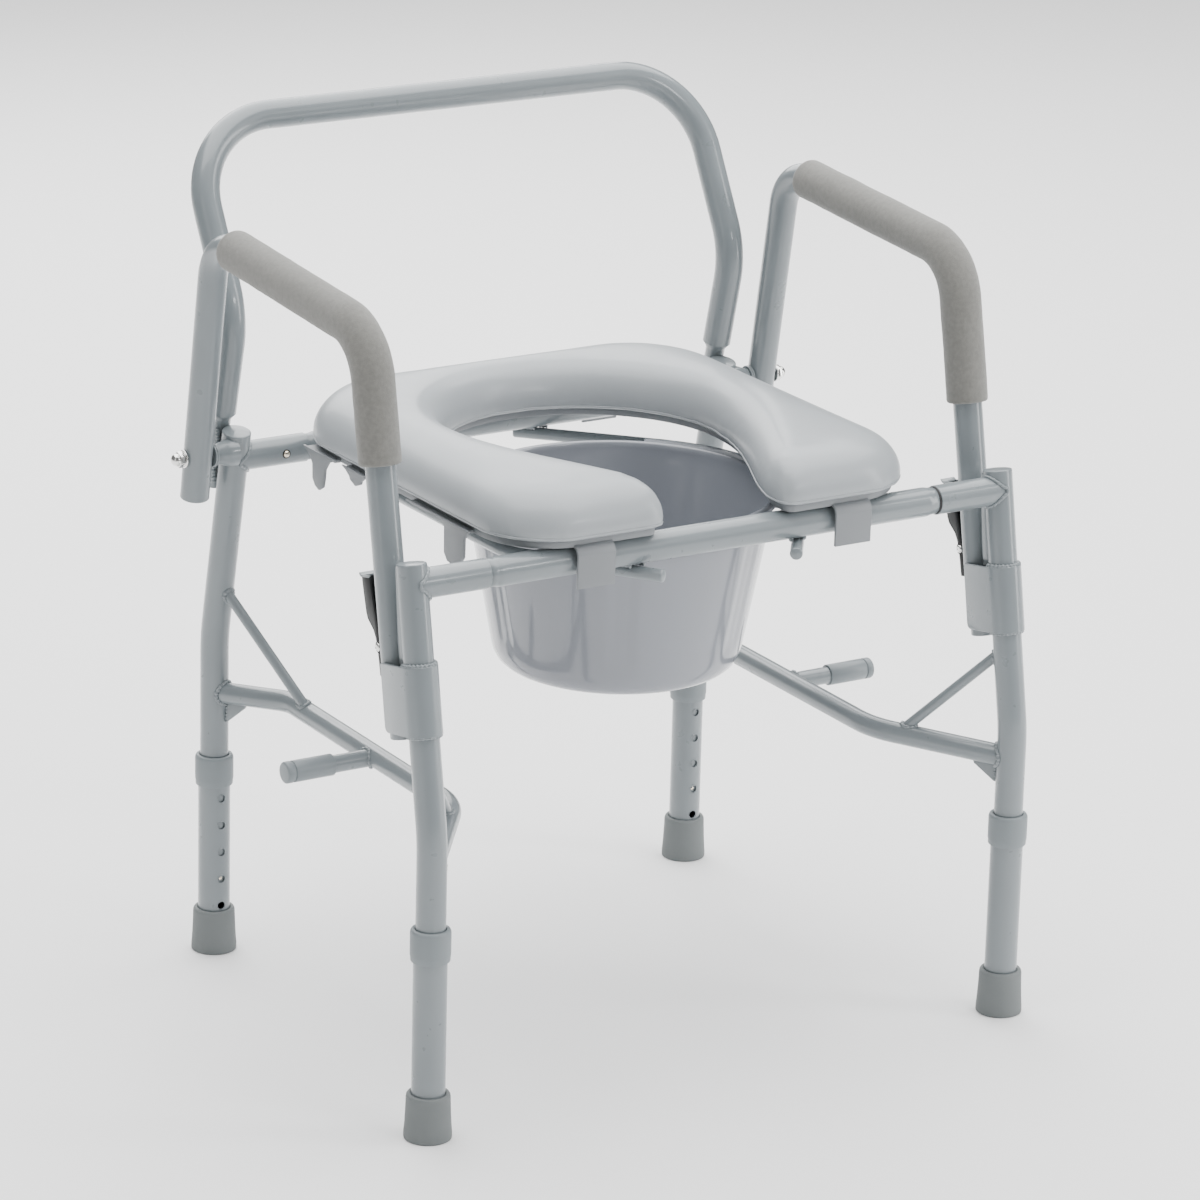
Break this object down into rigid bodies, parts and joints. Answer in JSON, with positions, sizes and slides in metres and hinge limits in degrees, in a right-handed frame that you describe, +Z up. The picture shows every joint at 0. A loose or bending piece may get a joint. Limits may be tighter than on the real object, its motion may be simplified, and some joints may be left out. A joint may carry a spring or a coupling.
{
  "type": "commode chair",
  "caption": "Drop-arm bedside commode chair: bent tube frame, padded open-front seat, round pail on rods, height-adjusting legs and swing-down padded arms.",
  "frame": {"origin": "middle of the outline's base, on the floor", "axes": "+Z up, -Y towards the open front of the seat, X across the chair"},
  "size_m": [0.631, 0.532, 0.7627],
  "materials": {
    "frame_paint": "satin powder coat",
    "lever_paint": "dark satin",
    "seat_vinyl": "soft padded vinyl",
    "board_plastic": "matte",
    "arm_foam": "closed-cell foam",
    "pail_plastic": "glossy",
    "tip_rubber": "matte",
    "collar_plastic": "matte",
    "sleeve_plastic": "matte",
    "bolt_chrome": "bright plated",
    "button_brass": "bright"
  },
  "bodies": {
    "frame": {"front_leg_l": "frame_paint", "rear_leg_l": "frame_paint", "front_stub_l": "frame_paint", "rear_stub_l": "frame_paint", "side_brace_l": "frame_paint", "stop_peg_l": "frame_paint", "arm_cradle_l": "frame_paint", "arm_socket_l": "frame_paint", "back_post_l": "frame_paint", "pivot_spacer_l": "frame_paint", "peg_sleeve_l": "sleeve_plastic", "pivot_bolt_l": "bolt_chrome", "pail_rod_l": "frame_paint", "front_leg_r": "frame_paint", "rear_leg_r": "frame_paint", "front_stub_r": "frame_paint", "rear_stub_r": "frame_paint", "side_brace_r": "frame_paint", "stop_peg_r": "frame_paint", "arm_cradle_r": "frame_paint", "arm_socket_r": "frame_paint", "back_post_r": "frame_paint", "pivot_spacer_r": "frame_paint", "peg_sleeve_r": "sleeve_plastic", "pivot_bolt_r": "bolt_chrome", "pail_rod_r": "frame_paint", "front_rail": "frame_paint", "rear_rail": "frame_paint"},
    "arm_l": {"arm_tube_l": "frame_paint", "arm_pad_l": "arm_foam", "latch_rivet_l": "bolt_chrome"},
    "lever_l": {"latch_lever_l": "lever_paint"},
    "arm_r": {"arm_tube_r": "frame_paint", "arm_pad_r": "arm_foam", "latch_rivet_r": "bolt_chrome"},
    "lever_r": {"latch_lever_r": "lever_paint"},
    "foot_front_l": {"leg_extension_front_l": "frame_paint", "leg_collar_front_l": "collar_plastic", "leg_tip_front_l": "tip_rubber"},
    "leg_button_front_l": {"leg_button_front_l": "button_brass"},
    "foot_front_r": {"leg_extension_front_r": "frame_paint", "leg_collar_front_r": "collar_plastic", "leg_tip_front_r": "tip_rubber"},
    "leg_button_front_r": {"leg_button_front_r": "button_brass"},
    "foot_rear_l": {"leg_extension_rear_l": "frame_paint", "leg_collar_rear_l": "collar_plastic", "leg_tip_rear_l": "tip_rubber"},
    "leg_button_rear_l": {"leg_button_rear_l": "button_brass"},
    "foot_rear_r": {"leg_extension_rear_r": "frame_paint", "leg_collar_rear_r": "collar_plastic", "leg_tip_rear_r": "tip_rubber"},
    "leg_button_rear_r": {"leg_button_rear_r": "button_brass"},
    "front_rail_button_l": {"front_button_l": "button_brass"},
    "front_rail_button_r": {"front_button_r": "button_brass"},
    "rear_rail_button_l": {"rear_button_l": "button_brass"},
    "rear_rail_button_r": {"rear_button_r": "button_brass"},
    "seat": {"seat_board": "board_plastic", "seat_cushion": "seat_vinyl"},
    "pail": {"pail": "pail_plastic"},
    "backrest": {"back_bar": "frame_paint"}
  },
  "joints": [
    {"name": "left_arm_drop", "type": "hinge", "parent": "frame", "child": "arm_l", "pos_m": [-0.29, 0.1663, 0.4775], "axis": [1, 0, 0], "range_deg": [0, 85.3]},
    {"name": "left_latch_squeeze", "type": "hinge", "parent": "arm_l", "child": "lever_l", "pos_m": [-0.29, -0.16538, 0.40486], "axis": [1, 0, 0], "range_deg": [0, 10], "stiffness_Nm_per_rad": 0.4},
    {"name": "right_arm_drop", "type": "hinge", "parent": "frame", "child": "arm_r", "pos_m": [0.29, 0.1663, 0.4775], "axis": [1, 0, 0], "range_deg": [0, 85.3]},
    {"name": "right_latch_squeeze", "type": "hinge", "parent": "arm_r", "child": "lever_r", "pos_m": [0.29, -0.16538, 0.40486], "axis": [1, 0, 0], "range_deg": [0, 10], "stiffness_Nm_per_rad": 0.4},
    {"name": "front_left_leg_height", "type": "slide", "parent": "frame", "child": "foot_front_l", "axis": [0, 0, -1], "range_m": [-0.0254, 0.0762]},
    {"name": "front_left_leg_button", "type": "slide", "parent": "frame", "child": "leg_button_front_l", "axis": [0, -1, 0], "range_m": [0, 0.004], "stiffness_N_per_m": 800},
    {"name": "front_right_leg_height", "type": "slide", "parent": "frame", "child": "foot_front_r", "axis": [0, 0, -1], "range_m": [-0.0254, 0.0762]},
    {"name": "front_right_leg_button", "type": "slide", "parent": "frame", "child": "leg_button_front_r", "axis": [0, -1, 0], "range_m": [0, 0.004], "stiffness_N_per_m": 800},
    {"name": "rear_left_leg_height", "type": "slide", "parent": "frame", "child": "foot_rear_l", "axis": [0, 0, -1], "range_m": [-0.0254, 0.0762]},
    {"name": "rear_left_leg_button", "type": "slide", "parent": "frame", "child": "leg_button_rear_l", "axis": [0, 1, 0], "range_m": [0, 0.004], "stiffness_N_per_m": 800},
    {"name": "rear_right_leg_height", "type": "slide", "parent": "frame", "child": "foot_rear_r", "axis": [0, 0, -1], "range_m": [-0.0254, 0.0762]},
    {"name": "rear_right_leg_button", "type": "slide", "parent": "frame", "child": "leg_button_rear_r", "axis": [0, 1, 0], "range_m": [0, 0.004], "stiffness_N_per_m": 800},
    {"name": "front_left_rail_button", "type": "slide", "parent": "frame", "child": "front_rail_button_l", "axis": [0, -1, 0], "range_m": [0, 0.0032], "stiffness_N_per_m": 800},
    {"name": "front_right_rail_button", "type": "slide", "parent": "frame", "child": "front_rail_button_r", "axis": [0, -1, 0], "range_m": [0, 0.0032], "stiffness_N_per_m": 800},
    {"name": "rear_left_rail_button", "type": "slide", "parent": "frame", "child": "rear_rail_button_l", "axis": [0, 1, 0], "range_m": [0, 0.0032], "stiffness_N_per_m": 800},
    {"name": "rear_right_rail_button", "type": "slide", "parent": "frame", "child": "rear_rail_button_r", "axis": [0, 1, 0], "range_m": [0, 0.0032], "stiffness_N_per_m": 800},
    {"name": "seat_lift_off", "type": "slide", "parent": "frame", "child": "seat", "axis": [0, 0, 1], "range_m": [0, 0.06]},
    {"name": "pail_lift", "type": "slide", "parent": "frame", "child": "pail", "axis": [0, 0, 1], "range_m": [0, 0.0082]},
    {"name": "back_bar_lift_off", "type": "slide", "parent": "frame", "child": "backrest", "axis": [0, -0.2328, 0.9725], "range_m": [0, 0.04]}
  ]
}
